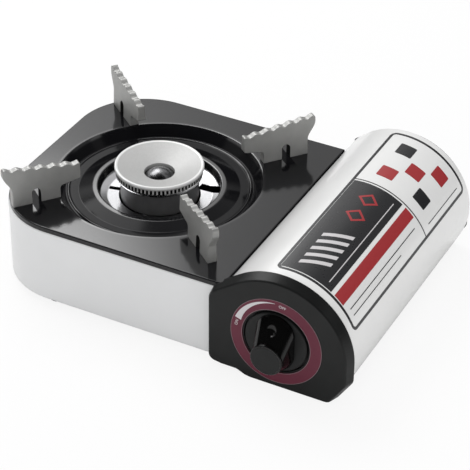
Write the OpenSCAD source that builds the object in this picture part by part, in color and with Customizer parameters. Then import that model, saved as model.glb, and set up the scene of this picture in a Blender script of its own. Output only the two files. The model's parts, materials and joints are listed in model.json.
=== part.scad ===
// Cassette gas stove: a burner box on the left, a cartridge bay with a round lid on the right.
// Box coordinates: X right from the left wall, Y back from the front wall, Z up from the ground.

/* [Burner box] */
// Width from the left wall to the seam with the bay
box_w = 201; // [195:1:245]
// Depth from the front wall to the back wall
box_d = 200; // [195:1:245]
// Plan radius of the two left corners
box_corner_r = 56; // [35:1:58]
// Thickness of the steel sheet
sheet = 0.8; // [0.6:0.1:1.2]
// Height of the top plate above the ground
plate_z = 68.1; // [64:0.1:84]
// Depth of the plate's turned-down rim
rim_h = 3.8; // [2.5:0.1:6]
// Height of the wall's lower edge above the ground
wall_z = 5.4; // [4.8:0.1:8]

/* [Recess and burner] */
// Distance of the burner from the middle of the box, to the left
burner_off_x = 3.8; // [0:0.1:8]
// Distance of the burner from the middle of the box, to the front
burner_off_y = 2.5; // [0:0.1:8]
// Radius of the recess at the plate's surface
recess_r = 77.2; // [74:0.1:78]
// Depth of the recess at its shelf
recess_depth = 8.2; // [6:0.1:10]
// Radius of the opening round the burner
opening_r = 46.5; // [44:0.1:50]
// Radius of the burner cap
cap_r = 33.5; // [30:0.1:36]
// Height of the cap's rim above the plate
cap_top = 12.4; // [11:0.1:18]
// Number of flame ports
port_count = 68; // [40:1:72]

/* [Pot supports] */
// Thickness of a pot support at its foot
trivet_foot_t = 7; // [5:0.1:8]
// Thickness of a pot support at its top
trivet_top_t = 4.6; // [3:0.1:5]
// Height of the outer tip above the plate
trivet_tip_h = 31.8; // [28:0.1:36]
// Height of the top edge at the inner end
trivet_inner_h = 25.2; // [23:0.1:28]
// Radius from the burner to the inner end
trivet_in_r = 62.4; // [58:0.1:66]
// Radius from the burner to the outer tip
trivet_tip_r = 121.2; // [119:0.1:124]
// Turn of a pot support about the middle of its foot
trivet_swirl = 5; // [0:0.5:8]
// Distance between two serrations
tooth_pitch = 9.4; // [6:0.05:12]
// Depth of a serration
tooth_depth = 1.6; // [1:0.1:3]

/* [Cartridge bay] */
// Outer radius of the lid
lid_r = 54.5; // [53:0.1:58]
// Depth of the lid's axis below the top plate
bay_drop = 33.4; // [32:0.1:35]
// Distance that the lid runs on behind the back wall
lid_past = 13.9; // [10:0.1:20]
// Height of the cartridge's axis above the lid's axis
cartridge_rise = 4.3; // [3.5:0.1:6]
// Radius of the cartridge
cartridge_r = 33.5; // [30:0.1:34]
// Length of the cartridge
cartridge_len = 185; // [170:1:186]

/* [Control] */
// Distance that the panel stands in front of the wall
panel_out = 6.2; // [5:0.1:8]
// Outer radius of the dial ring
ring_r = 35; // [32:0.5:36]
// Inner radius of the dial ring
ring_in_r = 26.1; // [25:0.1:28]
// Radius of the knob's skirt
knob_r = 23.8; // [22:0.1:24.5]
// Distance from the wall to the knob's end face
knob_out = 21.6; // [17:0.1:26]
// Turning angle of the knob from off to ignition
knob_angle = 83; // [60:1:90]
// Radius of the spindle
spindle_r = 3; // [2.5:0.1:3.5]

/* [Hidden] */
$fn = 96;

// Feet
foot_x = 58;
foot_in = 11;        // from the wall to the middle of a foot
foot_r = 6.5;
neck_r = 4;          // the foot's neck, through the hem and the base pan

// Clearances
fit = 0.05;          // between a pin and its hole
gap = 0.3;           // between two pieces that move past each other
plate_t = 1;         // thickness of the top plate
ledge = 0.8;         // the plate's rim stands back from the wall by this much
edge_r = 0.9;        // rounding of the plate's edge
ledge_w = 3;         // width of the wall's turned-in upper edge
hem = 9;             // width of the wall's turned-in lower edge
screw_r = 1.5;       // base screws
seam = 2.2;          // between the burner box and the lid

// Burner
burner_x = box_w / 2 - burner_off_x;
burner_y = box_d / 2 - burner_off_y;
opening_step = recess_depth - 2.9;   // depth of the raised step round the opening
ring_h = 3.5;                        // height of the port ring
port_h = 3.4;                        // height of the flame ports
port_w = 1.8;
port_band = 3.2;                     // thickness of the wall that the ports go through
port_top = cap_top - 3.1;            // height of the ports' upper edge above the plate
body_top = port_top - port_h - ring_h;
body_r = cap_r - 4;
chamber_z = plate_z - 17.5;          // floor of the burner's chamber
tube_z = plate_z - 25;               // axis of the mixing tube
tube_r = 8;
throat_r = 11;
bracket_z = tube_z - 11;             // top of the burner's bracket
bell_x = box_w - 21;                 // mouth of the mixing tube
electrode_a = 117;                   // direction of the spark electrode from the burner

// Pot supports
leg_in_r = 78.5;
leg_out_r = 115;
notch_r = 96.9;                      // centre of the foot's notch
notch_w = 6.8;
notch_h = 12;
tab_len = 6;
tab_t = 3;
tab_depth = 3;
trivet_turn = 1.4;                   // the four supports stand this far past the diagonals
trivet_off = [1.7, 0.8];             // the middle of the four supports, from the burner's axis
tip_round = 2;                       // radius of a support's outer tip

// Bay
bay_z = plate_z - bay_drop;
cartridge_z = bay_z + cartridge_rise;
lid_t = 0.9;
lid_y = 2.3;
lid_len = box_d + lid_past - lid_y;
lid_rise = asin(bay_drop / lid_r);
bay_x = box_w + seam + lid_r * cos(lid_rise);
lid_low = 9.1;                       // height of the lid's lower edge
lid_a0 = -asin((bay_z - lid_low) / lid_r);
lid_a1 = 180 - lid_rise;             // edge of the lid along the seam
hinge_x = box_w + 4.8;
hinge_z = plate_z - 0.6;
hinge_r = 1.5;
ear_r = 3.3;
bay_floor = 3.6;                     // underside of the base pan under the bay
pan_top = wall_z + 2 * sheet;        // upper side of the base pan under the burner
trough_r = bay_x + lid_r * cos(lid_a0) - 10.1133;   // right edge of the base pan's trough, by the lid's lower edge
cap_y = lid_y + lid_len + gap;       // front of the rear cap
cap_t = 2;
valve_y = 22;                        // back of the valve body
valve_r = 14;
bulkhead_y = 2;
bulkhead_r = 45.5;
bulkhead_foot = 36;                  // from the bay's axis to the left end of the bulkhead's lower edge
magnet_y = valve_y + 1.2;
cartridge_y = magnet_y + 3.3;        // front rim of the cartridge

// Panel
panel_r = lid_r + 1.5;
panel_left = box_w - 7.5;
panel_wall = 2;
panel_back = 2;
well_r = ring_in_r - 1.1;
well_floor = -2.8;
skirt_back = -4;
grip_back = -panel_out - 0.3;        // the skirt's face, where the grip stands
end_r = 12.2;                        // lip of the grip's end
end_z = -5.6;                        // the end's middle is this far above the spindle
cap_disc_r = 10.8;
cap_disc_t = 0.6;
ring_t = 0.8;

// Ignition
cam_y = 4.2;
cam_t = 2.4;
cam_r = 6;
cam_lift = 3;
lead_z = cartridge_z - 25;
plunger_w = 3;
plunger_len = 12;
cam_gap = 0.5;        // between the cam and the plunger
igniter_w = 13;
igniter_h = 15;
spindle_back = cam_y + cam_t + 6.5;  // the spindle's end, inside the valve body

// Frame: the origin lies under the middle of the whole stove
min_x = 0;
max_x = bay_x + panel_r;
min_y = -knob_out;
max_y = cap_y + cap_t;

function unit(v) = v / norm(v);
function arc(c, r, a0, a1, n = 24) =
    [for (i = [0:n]) c + r * [cos(a0 + (a1 - a0) * i / n), sin(a0 + (a1 - a0) * i / n)]];

// The arc that rounds the corner b between the points a and c
function fillet(a, b, c, r, n = 6) =
    let (u = unit(a - b), v = unit(c - b))
    let (half = acos(u * v) / 2)
    let (m = b + unit(u + v) * r / sin(half))
    let (s = b + u * r / tan(half) - m, e = b + v * r / tan(half) - m)
    let (a0 = atan2(s.y, s.x), turn = atan2(e.y, e.x) - a0)
    let (sweep = turn > 180 ? turn - 360 : turn < -180 ? turn + 360 : turn)
    arc(m, r, a0, a0 + sweep, n);

// An outline whose corners [x, y, r] are rounded by their own radius r
function rounded(p, n = 6) =
    let (k = len(p))
    [for (i = [0:k - 1]) each p[i].z > 0
        ? fillet(xy(p[(i + k - 1) % k]), xy(p[i]), xy(p[(i + 1) % k]), p[i].z, n)
        : [xy(p[i])]];
function xy(p) = [p.x, p.y];
function sharp(points) = [for (q = points) [q.x, q.y, 0]];

// The closed outline of a sheet of thickness t that lies below a path running inwards
function side(p, q) = let (d = unit(q - p)) [-d.y, d.x];
function ribbon(p, t) =
    let (k = len(p))
    concat(p, [for (j = [1:k]) let (i = k - j)
        let (n1 = side(p[max(i - 1, 0)], p[max(i, 1)]), n2 = side(p[min(i, k - 2)], p[min(i + 1, k - 1)]))
        let (m = unit(n1 + n2)) p[i] + m * t / (m * n1)]);

// A path whose inner corners are rounded; its two ends stay as they are
function rounded_path(p, n = 6) =
    [for (i = [0:len(p) - 1]) each i > 0 && i < len(p) - 1 && p[i].z > 0
        ? fillet(xy(p[i - 1]), xy(p[i]), xy(p[i + 1]), p[i].z, n)
        : [xy(p[i])]];

module place() {
    translate([-(min_x + max_x) / 2, -(min_y + max_y) / 2, 0])
        children();
}

module at_burner(z = 0) {
    translate([burner_x, burner_y, z])
        children();
}

// Turns a shape drawn in X and Z (as X and Y) and raised in Z so that it runs back from y
module along_y(y, length) {
    translate([0, y, 0])
        rotate([90, 0, 0])
            mirror([0, 0, 1])
                linear_extrude(length)
                    children();
}

module rod_y(x, y, z, r, length) {
    translate([x, y, z])
        rotate([-90, 0, 0])
            cylinder(r = r, h = length);
}

module rod_x(x, y, z, r, length) {
    translate([x, y, z])
        rotate([0, 90, 0])
            cylinder(r = r, h = length);
}

// Round tube along a path with square turns, each bent to the radius bend
module elbow(c, d1, d2, bend, r) {
    x = -d2;
    z = cross(x, d1);
    m = c - d1 * bend + d2 * bend;
    multmatrix([[x.x, d1.x, z.x, m.x], [x.y, d1.y, z.y, m.y], [x.z, d1.z, z.z, m.z]])
        rotate_extrude(angle = 90)
            translate([bend, 0])
                circle(r, $fn = 24);
}

module straight(a, b, r) {
    d = b - a;
    translate(a)
        rotate([0, acos(d.z / norm(d)), atan2(d.y, d.x)])
            cylinder(r = r, h = norm(d), $fn = 24);
}

module bent_tube(path, bend, r) {
    last = len(path) - 1;
    for (i = [0:last - 1]) {
        d = unit(path[i + 1] - path[i]);
        straight(path[i] + (i > 0 ? d * bend : [0, 0, 0]), path[i + 1] - (i < last - 1 ? d * bend : [0, 0, 0]), r);
    }
    for (i = [1:last - 1])
        elbow(path[i], unit(path[i] - path[i - 1]), unit(path[i + 1] - path[i]), bend, r);
}

// Pan-head screw, its head's underside at z = 0 and its shank up
module screw(r = 1.5, length = 6) {
    difference() {
        union() {
            translate([0, 0, -1.4])
                cylinder(r = r * 1.9, h = 1.4);
            cylinder(r = r, h = length);
        }
        for (a = [0, 90])
            rotate(a)
                translate([-r * 1.2, -0.35, -1.5])
                    cube([r * 2.4, 0.7, 0.8]);
    }
}

// Plan of the burner box: square to the bay at its right end, round at the left
module box_plan(inset = 0, right = box_w) {
    for (back = [0, 1])
        translate([box_corner_r, back * box_d + (1 - 2 * back) * box_corner_r])
            intersection() {
                circle(box_corner_r - inset);
                rotate(180 - 90 * back)
                    square(box_corner_r);
            }
    translate([box_corner_r, inset])
        square([right - box_corner_r, box_d - 2 * inset]);
    translate([inset, box_corner_r])
        square([box_corner_r - inset, box_d - 2 * box_corner_r]);
}

// Section of what is cut off to round an upper left edge
function edge_section(r) = concat([[-1, -r]], arc([r, -r], r, 180, 90, 8), [[r, 1], [-1, 1]]);

// Rounds the upper edge of the box's plan along its front, left side and back
module edge_cut(z, r, inset) {
    straight_cut = [for (q = edge_section(r)) [q.x + inset, q.y + z]];
    corner_cut = [for (q = edge_section(r)) [box_corner_r - inset - q.x, q.y + z]];
    for (back = [0, 1])
        translate([0, back * box_d, 0])
            mirror([0, back, 0]) {
                translate([box_corner_r, 0, 0])
                    rotate([90, 0, 90])
                        linear_extrude(box_w)
                            polygon(straight_cut);
                translate([box_corner_r, box_corner_r, 0])
                    rotate(180)
                        rotate_extrude(angle = 90)
                            polygon(corner_cut);
            }
    along_y(box_corner_r, box_d - 2 * box_corner_r)
        polygon(straight_cut);
}

// ---- Burner box ----

module body_shell() {
    top = plate_z - rim_h;
    color("gainsboro")
        place() {
            difference() {
                union() {
                    translate([0, 0, wall_z])
                        linear_extrude(top - wall_z)
                            difference() {
                                box_plan();
                                box_plan(sheet, box_w + 1);
                            }
                    // The upper edge is turned in as a ledge that carries the top plate
                    translate([0, 0, top - sheet])
                        linear_extrude(sheet)
                            difference() {
                                box_plan();
                                box_plan(ledge_w, box_w + 1);
                            }
                }
                edge_cut(top, 0.6, 0);
            }
            // The lower edge is turned in as a hem that carries the base pan
            difference() {
                translate([0, 0, wall_z])
                    linear_extrude(sheet)
                        difference() {
                            box_plan();
                            box_plan(hem, box_w - hem);
                        }
                for (p = base_screw_points())
                    translate([p.x, p.y, 0])
                        cylinder(r = screw_r + fit, h = 12);
                for (y = [foot_in, box_d - foot_in])
                    translate([foot_x, y, 0])
                        cylinder(r = neck_r + fit, h = 12);
            }
        }
}

// The base pan is flat under the box and steps down to a trough under the bay
module base_pan() {
    z0 = wall_z + sheet;
    trough_l = box_w + 8;
    top = [
        [sheet, z0, 0], [trough_l, z0, 3], [trough_l + 6, bay_floor, 3], [trough_r, bay_floor, 3],
        [trough_r + 8, bay_floor + 8.5, 0]
    ];
    profile = rounded_path(top, 4);
    color("silver")
        place()
            difference() {
                union() {
                    intersection() {
                        along_y(sheet, box_d - 2 * sheet)
                            polygon(ribbon(profile, sheet));
                        linear_extrude(plate_z)
                            union() {
                                box_plan(sheet + 0.1, box_w - sheet - 0.1);
                                translate([box_w - 2, panel_back])
                                    square([lid_r * 2 + 5, box_d - 2 * panel_back]);
                            }
                    }
                    // The bay's floor runs from the panel to the rear cap
                    difference() {
                        along_y(panel_back, cap_y - panel_back)
                            polygon(ribbon(profile, sheet));
                        translate([-50, -50, -1])
                            cube([box_w + seam + 50, box_d + 100, plate_z]);
                    }
                }
                // Cooling slots under the burner
                for (i = [-3:3])
                    at_burner(wall_z)
                        translate([i * 12, 0, 0])
                            linear_extrude(4, center = true)
                                polygon(slot_outline(5, 60 - 6 * abs(i)));
                for (p = base_screw_points())
                    translate([p.x, p.y, 0])
                        cylinder(r = screw_r + fit, h = 12);
                for (y = [foot_in, box_d - foot_in])
                    translate([foot_x, y, 0])
                        cylinder(r = screw_r + fit, h = 12);
            }
}

function slot_outline(w, l) =
    concat(arc([0, l / 2 - w / 2], w / 2, 0, 180, 12), arc([0, w / 2 - l / 2], w / 2, 180, 360, 12));

function base_screw_points() = [
    [box_w - 20, 5], [box_w - 20, box_d - 5], [box_corner_r + 50, 5], [box_corner_r + 50, box_d - 5],
    [5, box_d / 2 - 30], [5, box_d / 2 + 30]
];

module base_screws() {
    color("silver")
        place()
            union() {
                for (p = base_screw_points())
                    translate([p.x, p.y, wall_z])
                        screw(screw_r, 5);
                for (y = [foot_in, box_d - foot_in])
                    translate([foot_x, y, 2])
                        screw(screw_r, 7);
            }
}

// Recess: rounded lip, sloping wall, bead, shelf, raised step and turned-down collar round the opening
function recess_path() = rounded_path([
    [recess_r + 4, 0, 0], [recess_r + 0.2, 0, 1.3], [recess_r - 6.6, -recess_depth, 1.1],
    [recess_r - 8, -recess_depth + 0.2, 0.6], [recess_r - 8.8, -recess_depth + 1, 0.5],
    [recess_r - 10.2, -recess_depth + 0.2, 0.6],
    [opening_r + 14, -recess_depth, 2], [opening_r + 3.4, -opening_step, 1.2],
    [opening_r - 0.4, -opening_step, 1.4], [opening_r - 2, -recess_depth - 2.6, 0]
]);

module top_plate() {
    color([0.07, 0.07, 0.08])
        place()
            difference() {
                union() {
                    difference() {
                        translate([0, 0, plate_z - plate_t])
                            linear_extrude(plate_t)
                                box_plan(ledge, box_w + sheet);
                        at_burner(0)
                            cylinder(r = recess_r + 4, h = plate_z + 1);
                    }
                    translate([0, 0, plate_z - rim_h])
                        linear_extrude(rim_h - plate_t)
                            difference() {
                                box_plan(ledge, box_w + sheet);
                                box_plan(ledge + sheet, box_w);
                            }
                    at_burner(plate_z)
                        rotate_extrude()
                            polygon(ribbon(recess_path(), plate_t));
                }
                edge_cut(plate_z, edge_r, ledge);
                along_y(0, box_d)
                    polygon([for (q = edge_section(edge_r)) [box_w + sheet - q.x, plate_z + q.y]]);
                for (i = [0:3])
                    at_trivet(i)
                        for (r = tab_radii())
                            translate([r - tab_len / 2 - fit, -tab_t / 2 - fit, -plate_t - 1])
                                cube([tab_len + 2 * fit, tab_t + 2 * fit, plate_t + 2]);
            }
}

module foot(y) {
    color([0.1, 0.1, 0.1])
        place()
            translate([foot_x, y, 0])
                difference() {
                    rotate_extrude()
                        polygon([
                            [0, 0], [foot_r - 1, 0], [foot_r, 1], [foot_r, wall_z], [neck_r, wall_z],
                            [neck_r, wall_z + sheet], [0, wall_z + sheet]
                        ]);
                    translate([0, 0, -1])
                        cylinder(r = 3, h = 3);
                    cylinder(r = screw_r + fit, h = wall_z + 2);
                }
}

module foot_front() {
    foot(foot_in);
}

module foot_back() {
    foot(box_d - foot_in);
}

// ---- Pot supports ----

module at_trivet(i) {
    at_burner(plate_z)
        translate(trivet_off)
            rotate(45 + trivet_turn + 90 * i)
                translate([notch_r, 0, 0])
                    rotate(trivet_swirl)
                        translate([-notch_r, 0, 0])
                            children();
}

function tab_radii() = [(leg_in_r + notch_r - notch_w / 2) / 2, (leg_out_r + notch_r + notch_w / 2) / 2];

// Height of the serrated top edge at the radius r
function crest(r) =
    trivet_inner_h + (trivet_tip_h - trivet_inner_h) * (r - trivet_in_r) / (trivet_tip_r - trivet_in_r)
    - tooth_depth / 2 * (1 - cos(360 * (trivet_tip_r - tip_round - r) / tooth_pitch));

function trivet_outline() =
    let (steps = 84, tip_z = trivet_tip_h - tip_round, lean_low = 13, lean_high = tip_z - 3)
    let (crest_r = trivet_tip_r - tip_round, end_round = 1, end_r = trivet_in_r + end_round)
    let (arm_z = trivet_inner_h - 12.4, arm_slope = 3, overhang = trivet_tip_r - leg_out_r)
    concat(
        [[leg_in_r, 0], [notch_r - notch_w / 2, 0]],
        arc([notch_r, notch_h - notch_w / 2], notch_w / 2, 180, 0, 16),
        [[notch_r + notch_w / 2, 0], [leg_out_r, 0]],
        // The outer edge swings out in a soft double curve to a round tip
        [for (t = [0:0.1:1]) [leg_out_r + overhang * (3 - 2 * t) * t * t, lean_low + (lean_high - lean_low) * t]],
        arc([crest_r, tip_z], tip_round, 0, 90, 6),
        [for (i = [1:steps]) let (r = crest_r + (end_r - crest_r) * i / steps) [r, crest(r)]],
        arc([end_r, crest(end_r) - end_round], end_round, 90, 180, 5),
        fillet([trivet_in_r, arm_z + 5], [trivet_in_r, arm_z], [leg_in_r, arm_z - arm_slope], 1.2),
        fillet([trivet_in_r, arm_z], [leg_in_r, arm_z - arm_slope], [leg_in_r, 0], 3)
    );

module trivet(i) {
    color([0.72, 0.72, 0.71])
        place()
            at_trivet(i) {
                intersection() {
                    rotate([90, 0, 0])
                        linear_extrude(trivet_foot_t + 2, center = true)
                            polygon(trivet_outline());
                    translate([trivet_in_r - 5, 0, 0])
                        rotate([90, 0, 90])
                            linear_extrude(trivet_tip_r)
                                polygon([
                                    [-trivet_foot_t / 2, 0], [trivet_foot_t / 2, 0],
                                    [trivet_top_t / 2, trivet_tip_h], [-trivet_top_t / 2, trivet_tip_h]
                                ]);
                }
                for (r = tab_radii())
                    translate([r - tab_len / 2, -tab_t / 2, -tab_depth])
                        cube([tab_len, tab_t, tab_depth + 1]);
            }
}

module trivet_back_right() {
    trivet(0);
}

module trivet_back_left() {
    trivet(1);
}

module trivet_front_left() {
    trivet(2);
}

module trivet_front_right() {
    trivet(3);
}

// ---- Burner ----

module burner_cap() {
    hub_r = 11.5;
    port_z = port_top - port_h;
    band_r = cap_r - 0.8;
    top = concat(
        [[hub_r, cap_top - 7]],
        [[cap_r - 2.6, cap_top - 0.5]],
        arc([cap_r - 1.2, cap_top - 1.2], 1.2, 100, 0, 8),
        [[cap_r, port_top + 0.6], [band_r, port_top], [band_r, port_z], [band_r - port_band, port_z]],
        [[band_r - port_band, port_top + 0.2], [hub_r + 1.5, cap_top - 10], [hub_r, cap_top - 10]]
    );
    color([0.8, 0.8, 0.8])
        place()
            at_burner(plate_z)
                difference() {
                    rotate_extrude()
                        polygon(top);
                    for (i = [0:port_count - 1])
                        rotate(360 * (i + 0.5) / port_count)
                            translate([band_r - port_band - 1, -port_w / 2, port_z - 1])
                                cube([port_band + 3, port_w, port_h + 0.9]);
                }
}

// Polished dome that closes the middle of the cap
module cap_dome() {
    base = 11.3;
    rise = 5.5;
    r = (base * base + rise * rise) / (2 * rise);
    color([0.25, 0.25, 0.27])
        place()
            at_burner(plate_z + cap_top - 10.3)
                difference() {
                    translate([0, 0, rise - r])
                        sphere(r);
                    translate([0, 0, -2 * r])
                        cube([4 * r, 4 * r, 4 * r], center = true);
                }
}

// Bright ring under the ports, with a groove behind its lip
module port_ring() {
    groove = ring_h - 2.2;
    color([0.78, 0.78, 0.78])
        place()
            at_burner(plate_z + body_top)
                rotate_extrude()
                    polygon([
                        [cap_r - 9, 0], [cap_r - 2.6, 0], [cap_r - 1.4, 1.2], [cap_r - 0.9, 2.6],
                        [cap_r - 1.3, ring_h], [cap_r - 2, ring_h], [cap_r - 2.4, groove], [cap_r - 9, groove]
                    ]);
}

// Heat-dark ring in that groove: the gas goes over it to the ports
module port_liner() {
    r = cap_r - 0.8 - port_band - 0.3;
    z0 = body_top + ring_h - 2.2;
    color([0.15, 0.14, 0.14])
        place()
            at_burner(plate_z)
                rotate_extrude()
                    polygon([
                        [r - 0.8, z0], [cap_r - 2.8, z0], [cap_r - 2.8, z0 + 0.4], [r, z0 + 0.4], [r, port_top - 0.4],
                        [r - 0.8, port_top - 0.4]
                    ]);
}

// The body is a cup with a throat; a stub on its side takes the mixing tube
module burner_body() {
    wall = 2;
    z = chamber_z - plate_z;
    foot_z = bracket_z - plate_z;
    color([0.3, 0.3, 0.31])
        place()
            at_burner(plate_z)
                difference() {
                    union() {
                        rotate_extrude()
                            polygon([
                                [0, foot_z], [throat_r, foot_z], [throat_r, z - 4], [body_r - 3, z],
                                [body_r, z + 3], [body_r, body_top], [0, body_top]
                            ]);
                        translate([0, 0, tube_z - plate_z])
                            rotate([0, 90, 0])
                                cylinder(r = tube_r + 1.5, h = 24);
                    }
                    rotate_extrude()
                        polygon([
                            [0, foot_z + 2], [throat_r - wall, foot_z + 2], [throat_r - wall, z - 3],
                            [body_r - 3 - wall / 2, z + wall], [body_r - wall, z + 3 + wall / 2],
                            [body_r - wall, body_top + 1], [0, body_top + 1]
                        ]);
                    translate([throat_r - wall - 1, 0, tube_z - plate_z])
                        rotate([0, 90, 0])
                            cylinder(r = tube_r, h = 24);
                }
}

// Polished bowl under the opening, with two air gaps and a hole for the electrode
module reflector() {
    z = -recess_depth - plate_t;   // underside of the recess's shelf
    path = rounded_path([
        [opening_r + 20, z, 0], [opening_r + 14, z, 2], [opening_r + 0.4, z - 0.6, 1.5],
        [opening_r - 1.6, z - 3.2, 2], [opening_r - 7, z - 4.9, 4], [body_r + 1.2, z - 5.3, 0]
    ]);
    color([0.85, 0.85, 0.87])
        place()
            at_burner(plate_z)
                difference() {
                    rotate_extrude()
                        polygon(ribbon(path, sheet));
                    translate([body_r - 8, 19.5, z - 12])
                        cube([opening_r - body_r + 6, 7.6, 20]);
                    rotate(196)
                        translate([body_r, -2, z - 12])
                            cube([9.5, 4, 20]);
                    rotate(electrode_a)
                        translate([body_r + 8, 0, z - 12])
                            cylinder(r = 3, h = 20);
                }
}

// Venturi: a straight tube with a bell mouth and two air windows
module mixing_tube() {
    x0 = throat_r + 3;
    length = bell_x - burner_x - x0;
    color([0.45, 0.45, 0.46])
        place()
            at_burner(tube_z)
                translate([x0, 0, 0])
                    rotate([0, 90, 0])
                        difference() {
                            rotate_extrude()
                                polygon([
                                    [tube_r - 1.5, 0], [tube_r - fit, 0], [tube_r - fit, length * 0.45],
                                    [tube_r - 1.6, length * 0.62], [tube_r - 1.2, length * 0.8],
                                    [tube_r + 2.4, length - 2], [tube_r + 2.4, length],
                                    [tube_r + 1, length], [tube_r - 2.6, length * 0.8],
                                    [tube_r - 3, length * 0.62], [tube_r - 1.5, length * 0.45]
                                ]);
                            for (a = [0, 180])
                                rotate(a)
                                    translate([0, -2.5, length - 9])
                                        cube([tube_r + 4, 5, 6]);
                        }
}

// Brass jet on a cross block, screwed to the partition
module jet_holder() {
    color([0.75, 0.6, 0.3])
        place()
            translate([0, burner_y, tube_z])
                difference() {
                    union() {
                        translate([bell_x + 8, -6, -6])
                            cube([box_w - sheet - bell_x - 8 - sheet, 12, 12]);
                        rotate([0, 90, 0])
                            translate([0, 0, bell_x + 2])
                                cylinder(r1 = 2, r2 = 3, h = 6);
                    }
                    rotate([0, 90, 0])
                        translate([0, 0, bell_x])
                            cylinder(r = 0.8, h = 12);
                    rotate([90, 0, 0])
                        translate([bell_x + 13, 0, 0])
                            cylinder(r = 2.5 + fit, h = 8);
                }
}

function tube_path() = [
    [bell_x + 13, burner_y - 0.5, tube_z], [bell_x + 13, 15, tube_z], [bay_x - 17, 15, tube_z]
];

module gas_tube() {
    color([0.72, 0.45, 0.25])
        place()
            bent_tube(tube_path(), 6, 2.5);
}

// Pressed strap across the box that carries the burner
module burner_bracket() {
    half = 32;
    z0 = pan_top;
    path = rounded_path([
        [half + 9, z0 + sheet, 0], [half, z0 + sheet, 2], [half - 9, bracket_z, 3], [9 - half, bracket_z, 3],
        [-half, z0 + sheet, 2], [-half - 9, z0 + sheet, 0]
    ], 4);
    color("silver")
        place()
            at_burner()
                difference() {
                    rotate([90, 0, 90])
                        linear_extrude(26, center = true)
                            polygon(ribbon(path, sheet));
                    for (y = [-half - 4.5, half + 4.5])
                        translate([0, y, 0])
                            cylinder(r = 1.8, h = 12);
                    for (x = [-7, 7])
                        translate([x, 0, bracket_z - 3])
                            cylinder(r = 1.8, h = 6);
                }
}

// ---- Spark electrode ----

module at_electrode() {
    at_burner(plate_z)
        rotate(electrode_a)
            translate([body_r + 8, 0, 0])
                children();
}

module electrode_ceramic() {
    color("white")
        place()
            at_electrode()
                difference() {
                    rotate_extrude()
                        polygon([
                            [0, -34], [2.2, -34], [2.2, -26], [2.8, -26], [2.8, -20], [2.2, -20],
                            [2.2, -4.6], [1.6, -4], [0, -4]
                        ]);
                    translate([0, 0, -35])
                        cylinder(r = 0.8, h = 32);
                }
}

// Wire through the ceramic, bent over towards the ports
module electrode_tip() {
    color("silver")
        place()
            at_electrode()
                bent_tube([[0, 0, -34], [0, 0, port_top - 2], [-body_r - 8 + cap_r + 2, 0, port_top - 2]], 1.5, 0.75);
}

// Angle that stands on the burner's bracket and holds the ceramic
module electrode_clip() {
    foot_z = bracket_z - plate_z;
    color("silver")
        place()
            at_electrode()
                difference() {
                    union() {
                        translate([-15, -4, -20])
                            cube([20, 8, sheet]);
                        translate([-15, -4, foot_z])
                            cube([sheet, 8, -20 - foot_z]);
                        translate([-22, -4, foot_z])
                            cube([8, 8, sheet]);
                    }
                    translate([0, 0, -25])
                        cylinder(r = 2.25, h = 10);
                }
}

function lead_path() =
    let (r = body_r + 8)
    let (x = burner_x + r * cos(electrode_a), y = burner_y + r * sin(electrode_a))
    [[x, y, plate_z - 34.3], [x, y, lead_z], [x, 9, lead_z], [bay_x - 7, 9, lead_z]];

module igniter_lead() {
    color([0.15, 0.15, 0.15])
        place()
            bent_tube(lead_path(), 3, 1.2);
}

// ---- Bay ----

// Upright wall between the burner's heat and the cartridge
module partition() {
    z0 = pan_top;
    x = box_w - 2 * sheet;
    color("silver")
        place()
            difference() {
                union() {
                    translate([x, ledge_w + fit, z0])
                        cube([sheet, box_d - 2 * (ledge_w + fit), plate_z - plate_t - z0]);
                    translate([x - 8, ledge_w + fit, z0])
                        cube([8, box_d - 2 * (ledge_w + fit), sheet]);
                }
                rod_x(x - 1, 15, tube_z, 4, 4);
                rod_x(x - 1, 9, lead_z, 2.2, 4);
                rod_x(x - 1, burner_y, tube_z, 2.6, 4);
                for (i = [0:5])
                    translate([x - 1, burner_y + 25 + i * 12, z0 + 12])
                        cube([4, 5, 26]);
                for (i = [0:2])
                    translate([x - 1, burner_y - 30 - i * 12, z0 + 12])
                        cube([4, 5, 16]);
            }
}

// Steel plate behind the panel that carries the valve and the igniter
module bulkhead() {
    color("silver")
        place()
            difference() {
                along_y(bulkhead_y + fit, 1.2)
                    intersection() {
                        // The straight sides carry the plate down to the pan on a taller stove
                        union() {
                            translate([bay_x, bay_z])
                                circle(bulkhead_r);
                            translate([bay_x - bulkhead_foot, pan_top])
                                square([trough_r - 2 - bay_x + bulkhead_foot, bay_z - pan_top]);
                        }
                        translate([bay_x - lid_r, pan_top])
                            square([2 * lid_r, 2 * lid_r]);
                    }
                rod_y(bay_x, 0, cartridge_z, spindle_r + 1.5, 8);
                for (p = panel_screw_points())
                    rod_y(p.x, 0, p.y, 1.6, 8);
                for (p = valve_screw_points())
                    rod_y(p.x, 0, p.y, 1.6, 8);
            }
}

// Floor tray with two rails that the cartridge lies between
module cradle() {
    rail_x = cartridge_r * 0.66;
    z0 = bay_floor + sheet;
    rail_h = cartridge_z - sqrt(pow(cartridge_r, 2) - pow(rail_x, 2)) - z0 - 1;
    color("silver")
        place()
            difference() {
                union() {
                    translate([bay_x - rail_x - 4, cartridge_y + 6, z0])
                        cube([2 * rail_x + 8, cartridge_len - 22, sheet]);
                    for (s = [-1, 1])
                        translate([bay_x + s * (rail_x + 1) - sheet / 2, cartridge_y + 12, z0])
                            cube([sheet, cartridge_len - 34, rail_h]);
                }
                for (i = [-1:1])
                    translate([bay_x + i * 13 - 3, cartridge_y + 40, z0 - 1])
                        cube([6, cartridge_len - 80, 4]);
            }
}

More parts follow.
